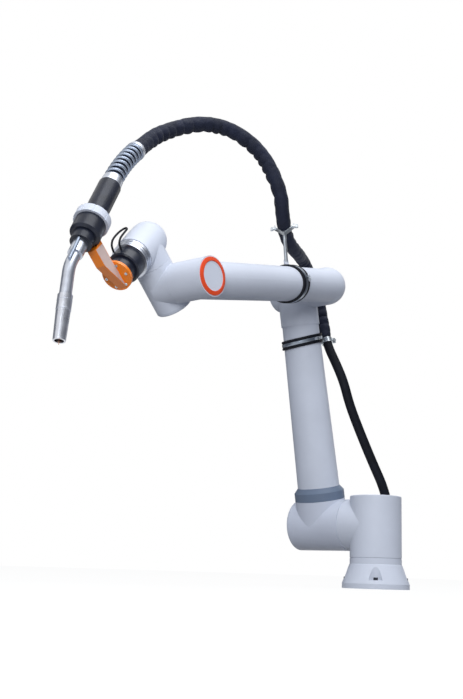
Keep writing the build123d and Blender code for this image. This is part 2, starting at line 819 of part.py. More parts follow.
# Short lead of the sensor unit: it leaves the unit, loops back over the wrist and returns
sensor_points = [
    (unit_radius - sensor_lead_sink, -9, 94),
    (56, -9, 90),
    (62, -6, 70),
    (62, -2, 42),
    (60, 4, 14),
    (60, 17, 0),
    (60, 27, 16),
    (61, 26, 44),
    (61, 20, 70),
    (55, 14, 90),
    (unit_radius - sensor_lead_sink, 13, 96),
]
sensor_route = [tool_plane.from_local_coords(Vector(*point)) for point in sensor_points]
sensor_radii = arc_radii(sensor_route)
with BuildPart() as sensor_lead:
    with BuildLine() as sensor_path:
        FilletPolyline(*sensor_route, radius=sensor_radii)
    with BuildSketch(Plane(origin=sensor_route[0], z_dir=sensor_route[1] - sensor_route[0])):
        Circle(sensor_lead_radius)
    sweep(path=sensor_path.wires()[0])
    with BuildSketch(tool_plane.offset(flange_top)):
        Circle(unit_radius)
    extrude(amount=unit_top - flange_top, mode=Mode.SUBTRACT)
finish(sensor_lead.part, "sensor_lead")
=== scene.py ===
import math
import bmesh
import bpy
from mathutils import Matrix, Vector, noise


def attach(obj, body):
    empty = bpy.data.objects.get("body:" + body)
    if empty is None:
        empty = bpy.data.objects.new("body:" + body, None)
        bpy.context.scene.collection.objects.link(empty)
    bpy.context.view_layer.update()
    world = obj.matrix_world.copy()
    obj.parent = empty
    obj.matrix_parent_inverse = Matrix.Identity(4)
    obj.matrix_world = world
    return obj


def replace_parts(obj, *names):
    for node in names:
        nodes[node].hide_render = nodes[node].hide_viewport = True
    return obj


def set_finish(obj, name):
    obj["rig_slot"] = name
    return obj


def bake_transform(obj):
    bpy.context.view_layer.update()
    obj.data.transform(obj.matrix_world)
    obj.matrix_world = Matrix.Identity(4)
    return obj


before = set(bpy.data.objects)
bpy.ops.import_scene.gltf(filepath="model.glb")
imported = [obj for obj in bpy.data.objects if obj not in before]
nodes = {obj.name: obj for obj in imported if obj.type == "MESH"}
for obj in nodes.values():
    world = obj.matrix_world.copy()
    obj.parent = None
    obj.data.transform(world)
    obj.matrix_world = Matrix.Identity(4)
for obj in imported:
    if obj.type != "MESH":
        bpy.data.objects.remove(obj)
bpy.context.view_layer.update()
print("frame loaded:", len(nodes), "nodes")


def intoScene(thing):
    bpy.context.scene.collection.objects.link(thing)
    return thing


# camera, low on the floor beside the foot, looking up at the arm
cameraLook = {
    "place": (2.555902, 1.512432, 0.034790),
    "right": (-0.62238452, 0.78212601, 0.03027228),
    "up": (0.18584774, 0.11009886, 0.97639073),
    "lens": 52.262,
    "sensor": 36.0,
    "nearest": 0.05,
    "furthest": 100,
}
right, up = Vector(cameraLook["right"]).normalized(), Vector(cameraLook["up"]).normalized()
back = right.cross(up).normalized()
cameraData = bpy.data.cameras.new("camera")
cameraData.lens, cameraData.sensor_width = cameraLook["lens"], cameraLook["sensor"]
cameraData.clip_start, cameraData.clip_end = cameraLook["nearest"], cameraLook["furthest"]
camera = intoScene(bpy.data.objects.new("camera", cameraData))
camera.matrix_world = Matrix((
    (right.x, up.x, back.x, cameraLook["place"][0]),
    (right.y, up.y, back.y, cameraLook["place"][1]),
    (right.z, up.z, back.z, cameraLook["place"][2]),
    (0, 0, 0, 1),
))
bpy.context.scene.camera = camera
print("camera placed")

# meshes: rings of points, the faces between them, and the piece that they make
meshLook = {
    "sharpFrom": 50,  # degrees: a steeper edge stays sharp in a smooth piece
    "bevelFrom": 40,  # degrees: a steeper edge gets a small bevel
    "pinPoint": 0.0001,  # radius of a ring that closes a turned end
}


def meshPiece(name, verts, faces, smooth=True):
    data = bpy.data.meshes.new(name)
    data.from_pydata([tuple(v) for v in verts], [], faces)
    bm = bmesh.new()
    bm.from_mesh(data)
    bmesh.ops.recalc_face_normals(bm, faces=bm.faces)
    sharpFrom = math.radians(meshLook["sharpFrom"])
    for edge in bm.edges:
        if len(edge.link_faces) == 2 and edge.calc_face_angle(0) > sharpFrom:
            edge.smooth = False
    bm.to_mesh(data)
    bm.free()
    if smooth:
        data.polygons.foreach_set("use_smooth", [True] * len(data.polygons))
    return intoScene(bpy.data.objects.new(name, data))


def around(axis):
    # an axis and two directions square to it
    axis = Vector(axis).normalized()
    out = axis.orthogonal().normalized()
    return axis, out, axis.cross(out)


def ringPoints(centre, out, other, radius, sides):
    turns = [2 * math.pi * j / sides for j in range(sides)]
    return [centre + (out * math.cos(turn) + other * math.sin(turn)) * radius for turn in turns]


def skin(rows, sides, caps=2, looped=False):
    # faces from row to row; one cap closes the first row, two the last as well,
    # and looped joins the last row to the first
    faces = []
    for k in range(rows if looped else rows - 1):
        here, there = k * sides, (k + 1) % rows * sides
        for j in range(sides):
            beside = (j + 1) % sides
            faces.append((here + j, here + beside, there + beside, there + j))
    if caps > 0:
        faces.append(tuple(range(sides - 1, -1, -1)))
    if caps > 1:
        faces.append(tuple(range((rows - 1) * sides, rows * sides)))
    return faces


def lathe(name, centre, axis, profile, sides, looped=False):
    # a profile of radius and height turned about an axis, closed by two ends or on itself
    axis, out, other = around(axis)
    verts = []
    for radius, along in profile:
        verts += ringPoints(Vector(centre) + axis * along, out, other, radius, sides)
    faces = skin(len(profile), sides, caps=0 if looped else 2, looped=looped)
    return meshPiece(name, verts, faces, smooth=looped)


def softEdges(piece, width):
    angle = math.radians(meshLook["bevelFrom"])
    bevel = piece.modifiers.new("edges", "BEVEL")
    bevel.width, bevel.segments = width, 2
    bevel.limit_method, bevel.angle_limit = "ANGLE", angle
    piece.data.polygons.foreach_set("use_smooth", [True] * len(piece.data.polygons))
    bpy.context.view_layer.objects.active = piece
    bpy.ops.object.select_all(action="DESELECT")
    piece.select_set(True)
    bpy.ops.object.modifier_apply(modifier="edges")
    bpy.ops.object.shade_smooth_by_angle(angle=angle)
    return piece


def platePiece(name, centre, first, second, through, outline, depths, edge):
    # a flat outline with a thickness, drawn along two directions from its centre
    verts = [centre + first * x + second * y + through * depth
             for depth in depths for x, y in outline]
    count = len(outline)
    faces = [tuple(range(count)), tuple(range(2 * count - 1, count - 1, -1))]
    faces += [(i, (i + 1) % count, (i + 1) % count + count, i + count) for i in range(count)]
    return softEdges(meshPiece(name, verts, faces, smooth=False), edge)


# the lead: one line from the torch's spring to the plug behind the foot
leadRoute = [
    (0.84508, -0.19391, 1.07012), (0.82302, -0.19808, 1.09002),
    (0.7793, -0.1990, 1.1333), (0.7293, -0.1920, 1.1673), (0.6773, -0.1780, 1.1973),
    (0.6233, -0.1570, 1.2173), (0.5673, -0.1310, 1.2183), (0.5183, -0.1000, 1.1963),
    (0.4813, -0.0720, 1.1553), (0.4573, -0.0520, 1.1033), (0.4373, -0.0390, 1.0463),
    (0.4123, -0.0500, 0.9913), (0.3703, -0.0690, 0.9493), (0.3113, -0.0850, 0.9333),
    (0.2523, -0.1060, 0.9363), (0.2013, -0.1370, 0.9483), (0.1453, -0.1630, 0.9533),
    (0.0903, -0.1790, 0.9303), (0.0493, -0.1820, 0.8843), (0.0333, -0.1740, 0.8263),
    (0.0343, -0.1620, 0.7673), (0.0383, -0.1430, 0.7093), (0.0353, -0.1150, 0.6533),
    (0.0290, -0.0925, 0.5980), (0.0095, -0.0845, 0.5340), (-0.0154, -0.0713, 0.4700),
    (-0.0560, -0.0470, 0.3700), (-0.0930, -0.0240, 0.2850), (-0.1180, -0.0250, 0.2150),
    (-0.1260, -0.0280, 0.1500), (-0.1260, -0.0280, 0.0950),
]
leadLook = {
    "steps": 20, "sides": 48,
    "leadRadius": 0.0138,
    "forkRun": 10, "clampRun": 20,  # the runs of the route that pass the fork and the arm's clamp
    # where one length ends and the next begins, in metres from the spring or from the plug
    "besideTool": 0.236, "besideWrist": 0.472, "pastFork": 0.708, "abovePlug": 0.175,
}
sleeveLook = {
    # radii, and how far along the sleeve they are reached
    "sleeveStart": 0.0212, "sleeveTop": 0.0195, "sleeveFork": 0.0192, "sleeveEnd": 0.0180,
    "topAt": 0.30, "forkAt": 0.62, "clampAt": 0.80, "cuffLength": 0.020,
    # the cloth bunches in puckers on the side that a bend closes on, and a little all round
    "puckerDepth": 0.0068, "puckerLength": 0.0290, "pinch": 0.6, "pinchMiddle": 0.54,
    "hollow": 1.2, "allRound": 0.12, "bendReach": 30, "fullBend": 0.012,
    # how deep the puckers are, and how unevenly they follow each other: "row" picks the noise
    "deepLeast": 0.75, "deepMore": 0.55, "deepPerMetre": 21, "deepRow": 7.1,
    "drift": 0.9, "driftPerMetre": 9, "driftRow": 2.3,
    "slant": 0.12, "slantTowards": (0.3, 0.9, 0.2),
    "creaseDepth": 0.0011, "creasePerMetre": 70, "creaseAround": 1.6, "creaseRow": 0.5,
    "creaseTwist": 2,
    "calmStart": 0.02, "calmEnd": 0.03,  # metres at each end over which the puckers fade out
}


def lineOf(points, steps):
    curve = bpy.data.curves.new("line", "CURVE")
    curve.dimensions = "3D"
    spline = curve.splines.new("NURBS")
    spline.points.add(len(points) - 1)
    for point, place in zip(spline.points, points):
        point.co = (*place, 1)
    spline.order_u = 3
    spline.use_endpoint_u = True
    spline.resolution_u = steps
    holder = intoScene(bpy.data.objects.new("line", curve))
    bpy.context.view_layer.update()
    mesh = bpy.data.meshes.new_from_object(holder)
    line = [v.co.copy() for v in mesh.vertices]
    bpy.data.objects.remove(holder)
    bpy.data.meshes.remove(mesh)
    return line


def framesAlong(line, firstSide):
    side, before, made = Vector(firstSide).normalized(), None, []
    for i, place in enumerate(line):
        ahead = (line[min(i + 1, len(line) - 1)] - line[max(i - 1, 0)]).normalized()
        if before is not None:
            side = before.rotation_difference(ahead) @ side
        side = (side - ahead * side.dot(ahead)).normalized()
        made.append((place, ahead, side, ahead.cross(side)))
        before = ahead
    return made


def lengthsAlong(line):
    total, made = 0.0, [0.0]
    for a, b in zip(line, line[1:]):
        total += (b - a).length
        made.append(total)
    return made


def tubePiece(name, frames, radiusAt, sides, lengths, first=0):
    verts = []
    for k, (place, ahead, side, other) in enumerate(frames):
        for j in range(sides):
            angle = 2 * math.pi * j / sides
            outward = side * math.cos(angle) + other * math.sin(angle)
            verts.append(place + outward * radiusAt(lengths[k], angle, outward, first + k))
    return meshPiece(name, verts, skin(len(frames), sides))


leadLine = lineOf(leadRoute, leadLook["steps"])
leadLengths = lengthsAlong(leadLine)
leadFrames = framesAlong(leadLine, (0, 0, 1))


def nearestTo(place):
    return min(range(len(leadLine)), key=lambda i: (leadLine[i] - Vector(place)).length)


def placeAt(distance):
    return min(range(len(leadLine)), key=lambda i: abs(leadLengths[i] - distance))


def middleOfRun(i):
    return (Vector(leadRoute[i]) + Vector(leadRoute[i + 1])) / 2


forkAlong = nearestTo(middleOfRun(leadLook["forkRun"]))
sleeveEnds = nearestTo(middleOfRun(leadLook["clampRun"]))
sleeveLength = leadLengths[sleeveEnds]
hollowSide = []  # the side that the bend closes on, where the cloth bunches
for i in range(len(leadLine)):
    a, b = max(i - sleeveLook["bendReach"], 0), min(i + sleeveLook["bendReach"], len(leadLine) - 1)
    hollowSide.append((leadLine[a] + leadLine[b]) / 2 - leadLine[i])


def sleeveTaper(s):
    look = sleeveLook
    stations = [(0, look["sleeveStart"]), (look["topAt"], look["sleeveTop"]),
                (look["forkAt"], look["sleeveFork"]), (look["clampAt"], look["sleeveEnd"])]
    for (a, radius), (b, nextRadius) in zip(stations, stations[1:]):
        if s < b:
            return radius + (nextRadius - radius) * (s - a) / (b - a)
    return look["sleeveEnd"]


def sleeveRadius(s, angle, outward, index):
    look, tail = sleeveLook, sleeveLength - s
    base = sleeveTaper(s)
    if tail < look["cuffLength"]:  # the sleeve closes on the lead in a rounded cuff
        bare = leadLook["leadRadius"]
        base = bare + (base - bare) * (max(tail, 0) / look["cuffLength"]) ** 0.5
    pull = hollowSide[index]
    bent = min(pull.length / look["fullBend"], 1)
    facing = max(outward.dot(pull.normalized()), 0) if pull.length > 1e-6 else 0
    wander = noise.noise(Vector((s * look["driftPerMetre"], look["driftRow"], 0)))
    slant = outward.dot(Vector(look["slantTowards"])) * look["slant"]
    phase = s / look["puckerLength"] + wander * look["drift"] + slant
    pucker = abs(math.sin(math.pi * phase)) ** look["pinch"] - look["pinchMiddle"]
    swell = noise.noise(Vector((s * look["deepPerMetre"], look["deepRow"], 0)))
    deep = look["deepLeast"] + look["deepMore"] * swell
    calm = min(s / look["calmStart"], 1) * min(max(tail, 0) / look["calmEnd"], 1)
    spot = Vector((s * look["creasePerMetre"], angle * look["creaseAround"], look["creaseRow"]))
    crease = noise.noise(spot + outward * look["creaseTwist"]) * look["creaseDepth"]
    share = facing ** look["hollow"] * bent + look["allRound"]
    return base + (look["puckerDepth"] * deep * pucker * share + crease) * calm


def plainRadius(s, angle, outward, index):
    return leadLook["leadRadius"]


# each length of the lead runs across one joint
leadCuts = {
    "start": 0, "besideTool": placeAt(leadLook["besideTool"]),
    "besideWrist": placeAt(leadLook["besideWrist"]), "pastFork": placeAt(leadLook["pastFork"]),
    "sleeveEnd": sleeveEnds, "besideShoulder": placeAt(leadLengths[-1] - leadLook["abovePlug"]),
    "plug": len(leadLine) - 1,
}
leadSpans = [
    # name, start, end, the two bodies that it runs between, the nodes that it stands for
    ("sleeveAtTool", "start", "besideTool", "tool", "wrist2", ["sleeve_loop"]),
    ("sleeveAtWrist", "besideTool", "besideWrist", "wrist2", "wrist1", ["sleeve_loop"]),
    ("sleeveAtFork", "besideWrist", "pastFork", "wrist1", "forearm",
     ["sleeve_loop", "sleeve_over"]),
    ("sleeveOverElbow", "pastFork", "sleeveEnd", "forearm", "upper_arm", ["sleeve_over"]),
    ("leadBesideArm", "sleeveEnd", "besideShoulder", "upper_arm", "shoulder",
     ["lead_drop", "lead_foot"]),
    ("leadToPlug", "besideShoulder", "plug", "shoulder", "base", ["lead_foot"]),
]
leadPieces = {}
for name, start, end, bodyA, bodyB, stoodFor in leadSpans:
    a, b = leadCuts[start], leadCuts[end] + 1
    cloth = name.startswith("sleeve")
    piece = tubePiece(name, leadFrames[a:b], sleeveRadius if cloth else plainRadius,
                      leadLook["sides"], leadLengths[a:b], first=a)
    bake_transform(piece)
    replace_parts(piece, *stoodFor)
    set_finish(piece, "sleeve_fabric" if cloth else "lead_rubber")
    leadPieces[name] = piece
print(f"lead made: {leadLengths[-1]:.3f} m in all")


# finishes: small node chains, one function for each kind
def newFinish(name):
    material = bpy.data.materials.new(name)
    material.use_nodes = True
    tree = material.node_tree
    return material, tree, tree.nodes["Principled BSDF"]


def add(tree, kind, **values):
    node = tree.nodes.new(kind)
    for key, value in values.items():
        if hasattr(node, key):
            setattr(node, key, value)
        else:
            node.inputs[key].default_value = value
    return node


def ramp(tree, source, stops):
    node = add(tree, "ShaderNodeValToRGB")
    elements = node.color_ramp.elements
    while len(elements) < len(stops):
        elements.new(0.5)
    for element, (place, colour) in zip(elements, stops):
        element.position = place
        element.color = (*colour, 1)
    tree.links.new(source, node.inputs["Fac"])
    return node.outputs["Color"]


def grain(tree, scale, detail=3.0, stretch=None):
    where = add(tree, "ShaderNodeTexCoord").outputs["Object"]
    node = add(tree, "ShaderNodeTexNoise", Scale=scale, Detail=detail, Roughness=0.55)
    if stretch:
        mapping = add(tree, "ShaderNodeMapping", Scale=stretch)
        tree.links.new(where, mapping.inputs["Vector"])
        where = mapping.outputs["Vector"]
    tree.links.new(where, node.inputs["Vector"])
    return node.outputs["Fac"]


def shade(colour, factor):
    return tuple(min(c * factor, 1) for c in colour)


def tinted(tree, shader, source, colour, darker, lighter, start=0.3, end=0.7):
    tint = ramp(tree, source, [(start, shade(colour, darker)), (end, shade(colour, lighter))])
    tree.links.new(tint, shader.inputs["Base Color"])


def roughened(tree, shader, source, low, high):
    node = add(tree, "ShaderNodeMapRange")
    node.inputs["To Min"].default_value = low
    node.inputs["To Max"].default_value = high
    tree.links.new(source, node.inputs["Value"])
    tree.links.new(node.outputs["Result"], shader.inputs["Roughness"])


def bumpFrom(tree, shader, height, strength, distance):
    bump = add(tree, "ShaderNodeBump", Strength=strength, Distance=distance)
    tree.links.new(height, bump.inputs["Height"])
    tree.links.new(bump.outputs["Normal"], shader.inputs["Normal"])


paintLook = {
    "clouds": 6.0, "smudges": 30.0, "smoother": 0.06, "rougher": 0.08,
    "peel": 900.0, "peelStrength": 0.10, "peelHeight": 0.0004,
    "specular": 0.3, "coatRoughness": 0.22,
}


def paintFinish(name, colour, roughness=0.5, coat=0.05, cloudiness=0.05):
    material, tree, shader = newFinish(name)
    look = paintLook
    tinted(tree, shader, grain(tree, look["clouds"], 4.0), colour, 1 - cloudiness, 1 + cloudiness)
    roughened(tree, shader, grain(tree, look["smudges"], 5.0),
              roughness - look["smoother"], roughness + look["rougher"])
    shader.inputs["Specular IOR Level"].default_value = look["specular"]
    shader.inputs["Coat Weight"].default_value = coat
    shader.inputs["Coat Roughness"].default_value = look["coatRoughness"]
    bumpFrom(tree, shader, grain(tree, look["peel"], 2.0), look["peelStrength"], look["peelHeight"])
    return material


mouldLook = {
    "speckles": 40.0, "patches": 16.0, "smoother": 0.08, "rougher": 0.10,
    "pores": 1500.0, "poreStrength": 0.25, "poreDepth": 0.0003,
}


def mouldedFinish(name, colour, roughness, speckle, specular=0.5):
    material, tree, shader = newFinish(name)
    look = mouldLook
    shader.inputs["Specular IOR Level"].default_value = specular
    tinted(tree, shader, grain(tree, look["speckles"], 4.0), colour, 1 - speckle, 1 + speckle)
    roughened(tree, shader, grain(tree, look["patches"]),
              roughness - look["smoother"], roughness + look["rougher"])
    bumpFrom(tree, shader, grain(tree, look["pores"], 2.0), look["poreStrength"], look["poreDepth"])
    return material


metalLook = {
    "stretch": (24, 24, 60), "contrast": 0.10, "smoother": 0.04, "rougher": 0.08,
    "lineStrength": 0.008, "lineDepth": 0.0002,
}


def metalFinish(name, colour, roughness):
    material, tree, shader = newFinish(name)
    look = metalLook
    shader.inputs["Metallic"].default_value = 1.0
    lines = grain(tree, 1.0, 4.0, look["stretch"])
    tinted(tree, shader, lines, colour, 1 - look["contrast"], 1 + look["contrast"], 0.25, 0.75)
    roughened(tree, shader, lines, roughness - look["smoother"], roughness + look["rougher"])
    bumpFrom(tree, shader, lines, look["lineStrength"], look["lineDepth"])
    return material


clothLook = {
    "patches": 24.0, "darker": 0.75, "lighter": 1.4, "rubbing": 60.0, "worn": 0.55, "fresh": 0.80,
    "specular": 0.22, "sheen": 0.06, "sheenRoughness": 0.5,
    "weave": (1600, 1600, 500), "folds": 120.0, "weaveStrength": 0.35, "weaveDepth": 0.0008,
}


def clothFinish(name, colour):
    material, tree, shader = newFinish(name)
    look = clothLook
    tinted(tree, shader, grain(tree, look["patches"], 5.0), colour, look["darker"], look["lighter"])
    roughened(tree, shader, grain(tree, look["rubbing"]), look["worn"], look["fresh"])
    shader.inputs["Specular IOR Level"].default_value = look["specular"]
    shader.inputs["Sheen Weight"].default_value = look["sheen"]
    shader.inputs["Sheen Roughness"].default_value = look["sheenRoughness"]
    both = add(tree, "ShaderNodeMath", operation="ADD")
    tree.links.new(grain(tree, 1.0, 2.0, look["weave"]), both.inputs[0])
    tree.links.new(grain(tree, look["folds"]), both.inputs[1])
    bumpFrom(tree, shader, both.outputs[0], look["weaveStrength"], look["weaveDepth"])
    return material


finishes = {
    "white_paint": paintFinish("whitePaint", (0.68, 0.71, 0.79)),
    "grey_paint": paintFinish("greyPaint", (0.64, 0.67, 0.76)),
    "grey_cap": paintFinish("paleCap", (0.60, 0.63, 0.71)),
    "collar": paintFinish("collarPaint", (0.155, 0.20, 0.28)),
    "orange_trim": mouldedFinish("orangeTrim", (0.86, 0.075, 0.012), 0.40, 0.08),
    "orange_metal": paintFinish("orangeCoat", (0.98, 0.225, 0.002), 0.30, 0.3, 0.10),
    # the fin's sides: a pale pinkish painted reflection, standing in for lamp light on the orange
    # paint
    "bracket_painted_sheen": paintFinish("bracketPaintedSheen", (0.66, 0.50, 0.45), 0.35, 0.2),
    "bare_steel": metalFinish("turnedSteel", (0.56, 0.59, 0.66), 0.32),
    "spring_wire": metalFinish("springWire", (0.34, 0.39, 0.48), 0.45),
    "strap_steel": metalFinish("strapSteel", (0.28, 0.32, 0.38), 0.28),
    "nozzle_chrome": metalFinish("nozzlePlating", (0.64, 0.66, 0.72), 0.27),
    "copper_tip": metalFinish("copperTip", (0.70, 0.42, 0.28), 0.35),
    "zinc_steel": metalFinish("zincPlate", (0.58, 0.62, 0.66), 0.28),
    "black_plastic": mouldedFinish("blackMoulding", (0.012, 0.015, 0.027), 0.30, 0.3, 0.32),
    "lead_rubber": mouldedFinish("leadRubber", (0.006, 0.007, 0.012), 0.60, 0.3, 0.16),
    "sleeve_fabric": clothFinish("sleeveCloth", (0.010, 0.013, 0.029)),
}
nodesIn = {
    "white_paint": ["base_foot", "shoulder_body", "shoulder_lid", "upper_arm_tube",
                    "elbow_housing", "elbow_body", "forearm_tube", "wrist_housing", "end_disc",
                    "wrist1_body", "wrist2_body", "mount_ring"],
    "grey_paint": ["upper_arm_hub"],
    "grey_cap": ["hub_cap", "elbow_cap", "wrist1_cap"],
    "collar": ["arm_collar"],
    "orange_trim": ["accent_ring"],
    "orange_metal": ["torch_bracket"],
    "bare_steel": ["flange_ring", "grip_ferrule", "neck_block", "torch_neck", "bend_spring"],
    "nozzle_chrome": ["gas_nozzle"],
    "copper_tip": ["contact_tip"],
    "zinc_steel": ["arm_clamp_band", "forearm_clamp_band", "lead_clip", "clip_bolts",
                   "cradle_stem", "cradle_fork", "cradle_screws"],
    "black_plastic": ["sensor_unit", "torch_socket", "socket_nut", "torch_grip", "lead_plug"],
    "lead_rubber": ["arm_clamp_liner", "forearm_clamp_liner", "sensor_lead", "lead_drop",
                    "lead_foot"],
    "sleeve_fabric": ["sleeve_loop", "sleeve_over"],
}
finishOf = {name: finish for finish, names in nodesIn.items() for name in names}
for name, node in nodes.items():
    node.data.materials.clear()
    node.data.materials.append(finishes[finishOf[name]])
for piece in leadPieces.values():
    piece.data.materials.append(finishes[piece["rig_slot"]])
print("finishes set")

# the slot of each finish that has a name of its own here
# the bracket's pale side plates are painted reflection over the orange paint, so they take its slot
slotOf = {"spring_wire": "bare_steel", "bracket_painted_sheen": "orange_metal", "strap_steel": "zinc_steel"}


def wear(piece, finish, body):
    piece.data.materials.append(finishes[finish])
    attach(piece, body)
    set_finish(piece, slotOf.get(finish, finish))
    return piece


# places shared by the pieces below, as in the part's source: metres, and degrees
armPlaces = {
    "shoulder": (0, -0.180, 0.178), "armLean": 12.9, "armLength": 0.700, "elbowAcross": 0.115,
    "forearmDrop": 12.2, "forearmLength": 0.610, "wristAcross": 0.104, "wristTilt": 45.6,
    "wristLength": 0.115, "toolTurn": 8, "torchTilt": 13.5, "nozzleTilt": 33.7,
    "bendAhead": 0.2795, "bendOut": 0.1035,
    "armClampAt": 0.548, "forearmClampAt": 0.207,
}


def turned(angle):
    return math.cos(math.radians(angle)), math.sin(math.radians(angle))


def between(first, second, angle):
    # a direction turned from the first towards the second
    c, s = turned(angle)
    return first * c + second * s


forward, across, upright = Vector((1, 0, 0)), Vector((0, 1, 0)), Vector((0, 0, 1))
armDir = between(upright, forward, armPlaces["armLean"])
forearmDir = between(forward, -upright, armPlaces["forearmDrop"])
forearmUp = between(upright, forward, armPlaces["forearmDrop"])
wristDir = between(upright, forward, armPlaces["wristTilt"])
frontDir = between(forward, -upright, armPlaces["wristTilt"])
toolDir = between(frontDir, across, armPlaces["toolTurn"])
torchDir = between(toolDir, -wristDir, armPlaces["torchTilt"])
torchOut = between(wristDir, toolDir, armPlaces["torchTilt"])
nozzleDir = between(toolDir, -wristDir, armPlaces["nozzleTilt"])
shoulderCentre = Vector(armPlaces["shoulder"])
forearmCentre = (shoulderCentre + armDir * armPlaces["armLength"]
                 + across * armPlaces["elbowAcross"])
wristHub = forearmCentre + forearmDir * armPlaces["forearmLength"]
toolCentre = (wristHub - across * armPlaces["wristAcross"]
              + wristDir * armPlaces["wristLength"])
bendPoint = toolCentre + toolDir * armPlaces["bendAhead"] + wristDir * armPlaces["bendOut"]
armClampCentre = shoulderCentre + armDir * armPlaces["armClampAt"]
forearmClampCentre = forearmCentre + forearmDir * armPlaces["forearmClampAt"]

# torch spring: round wire wound over a dark core, with a cuff and a rounded end cap
springLook = {
    "behindBend": 0.300, "length": 0.168, "bend": 17.0, "sides": 56,
    "coreRadius": 0.0190, "coreRows": 24,
    "turns": 8.5, "coilRadius": 0.0214, "wireRadius": 0.0037, "wireStretch": 1.15,
    "wireSides": 12, "wireSteps": 40, "tuckedIn": 0.002,
    "cuffLength": 0.010, "cuffRows": 34, "cuffRadius": 0.0254, "cuffEdge": 0.0246,
    "cuffFrom": 0.03, "cuffTo": 0.94,
    "capLength": 0.016, "capRows": 30, "capRadius": 0.0252, "capEdge": 0.0244,
    "capFrom": 0.04, "capRoundFrom": 0.45, "capRounding": 1 / 3,
}
springRadius = springLook["length"] / math.radians(springLook["bend"])
springCentre = bendPoint - torchDir * springLook["behindBend"] - torchOut * springRadius


def onSpring(distance):
    angle = distance / springRadius
    outward = torchOut * math.cos(angle) - torchDir * math.sin(angle)
    along = -torchDir * math.cos(angle) - torchOut * math.sin(angle)
    return springCentre + outward * springRadius, along, outward, along.cross(outward)


def springBody(name, start, end, radiusAt, rows):
    verts, sides = [], springLook["sides"]
    for k in range(rows):
        t = k / (rows - 1)
        place, along, out, other = onSpring(start + (end - start) * t)
        verts += ringPoints(place, out, other, radiusAt(t), sides)
    return meshPiece(name, verts, skin(rows, sides))


def coreRadius(t):
    return springLook["coreRadius"]


def cuffRadius(t):
    inside = springLook["cuffFrom"] < t < springLook["cuffTo"]
    return springLook["cuffRadius"] if inside else springLook["cuffEdge"]


def capRadius(t):
    look = springLook
    if t <= look["capFrom"]:
        return look["capEdge"]
    return look["capRadius"] * (1 - look["capRounding"] * max(t - look["capRoundFrom"], 0) ** 2)


def coilPiece():
    look, verts = springLook, []
    start = look["cuffLength"] - look["tuckedIn"]
    end = look["length"] - look["capLength"] + look["tuckedIn"]
    steps = int(look["turns"] * look["wireSteps"])
    for k in range(steps + 1):
        t = k / steps
        place, along, out, other = onSpring(start + (end - start) * t)
        angle = 2 * math.pi * look["turns"] * t
        outward = out * math.cos(angle) + other * math.sin(angle)
        verts += ringPoints(place + outward * look["coilRadius"], outward,
                            along * look["wireStretch"], look["wireRadius"], look["wireSides"])
    return meshPiece("springCoil", verts, skin(steps + 1, look["wireSides"], caps=0))


springEnd = springLook["length"]
springCore = springBody("springCore", 0.0, springEnd, coreRadius, springLook["coreRows"])
wear(springCore, "black_plastic", "tool")
springCoil = wear(coilPiece(), "spring_wire", "tool")
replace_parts(springCoil, "bend_spring")
springCuff = springBody("springCuff", 0.0, springLook["cuffLength"], cuffRadius,
                        springLook["cuffRows"])
wear(springCuff, "bare_steel", "tool")
springCap = springBody("springCap", springEnd - springLook["capLength"], springEnd, capRadius,
                       springLook["capRows"])
wear(springCap, "bare_steel", "tool")
print("torch spring made")

# torch neck: the second pipe beside it, from behind its bend towards the nozzle
neckLook = {
    "outShare": 0.85, "acrossShare": 0.5, "behindBend": 0.075, "points": 4, "spacing": 0.022,
    "stand": 0.0195, "closing": 0.0012, "radius": 0.0042, "sides": 20, "steps": 8,
}


def pipeRadius(s, angle, outward, index):
    return neckLook["radius"]


pipeSide = torchOut * neckLook["outShare"] + across * neckLook["acrossShare"]
pipeSide.normalize()
pipeLine = lineOf([bendPoint - torchDir * (neckLook["behindBend"] - neckLook["spacing"] * i)
                   + pipeSide * (neckLook["stand"] - neckLook["closing"] * i)
                   for i in range(neckLook["points"])], neckLook["steps"])
neckPipe = tubePiece("neckPipe", framesAlong(pipeLine, torchOut), pipeRadius, neckLook["sides"],
                     lengthsAlong(pipeLine))
wear(neckPipe, "spring_wire", "tool")

# nozzle: two narrow bands round it
bandLook = {
    "inner": 0.0160, "sides": 56, "edge": 0.0004,
    # name, where it starts and ends along the nozzle, radius
    "bands": [("nozzleBand", 0.086, 0.089, 0.01715), ("nozzleBand2", 0.1085, 0.1105, 0.01710)],
}
for name, start, end, outer in bandLook["bands"]:
    inner = bandLook["inner"]
    band = lathe(name, bendPoint, nozzleDir,
                 [(inner, start), (outer, start), (outer, end), (inner, end)], bandLook["sides"])
    wear(softEdges(band, bandLook["edge"]), "bare_steel", "tool")
print("torch details made")

# cap screws: a round head with a dished hexagon in its top
screwLook = {
    "sides": 24,
    # share of the head's radius, share of its height, and whether it is the hexagon's
    "rings": [(1, -0.3, False), (1, 0.8, False), (0.88, 1, False), (0.58, 1, True),
              (0.55, 0.25, True)],
    "middle": 0.2,
}
footLook = {"circle": 0.084, "count": 4, "turn": 30.6, "floor": 0.024, "radius": 0.0062,
            "height": 0.0075}
plateLook = {"circle": 0.029, "count": 6, "turn": 30.0, "top": 0.148, "radius": 0.0036,
             "height": 0.0028}


def hexagon(angle):
    # how far its side lies at this angle, as a share of its corner's distance
    sixth = math.pi / 3
    return math.cos(sixth / 2) / math.cos(angle % sixth - sixth / 2)


def socketScrew(name, place, axis, radius, height):
    axis, out, other = around(axis)
    sides, verts = screwLook["sides"], []
    rings = [(radius * wide, height * high, key) for wide, high, key in screwLook["rings"]]
    rings.append((meshLook["pinPoint"], height * screwLook["middle"], False))
    for size, along, key in rings:
        for j in range(sides):
            angle = 2 * math.pi * j / sides
            flat = hexagon(angle) if key else 1.0
            outward = out * math.cos(angle) + other * math.sin(angle)
            verts.append(place + axis * along + outward * size * flat)
    return meshPiece(name, verts, skin(len(rings), sides, caps=1), smooth=False)


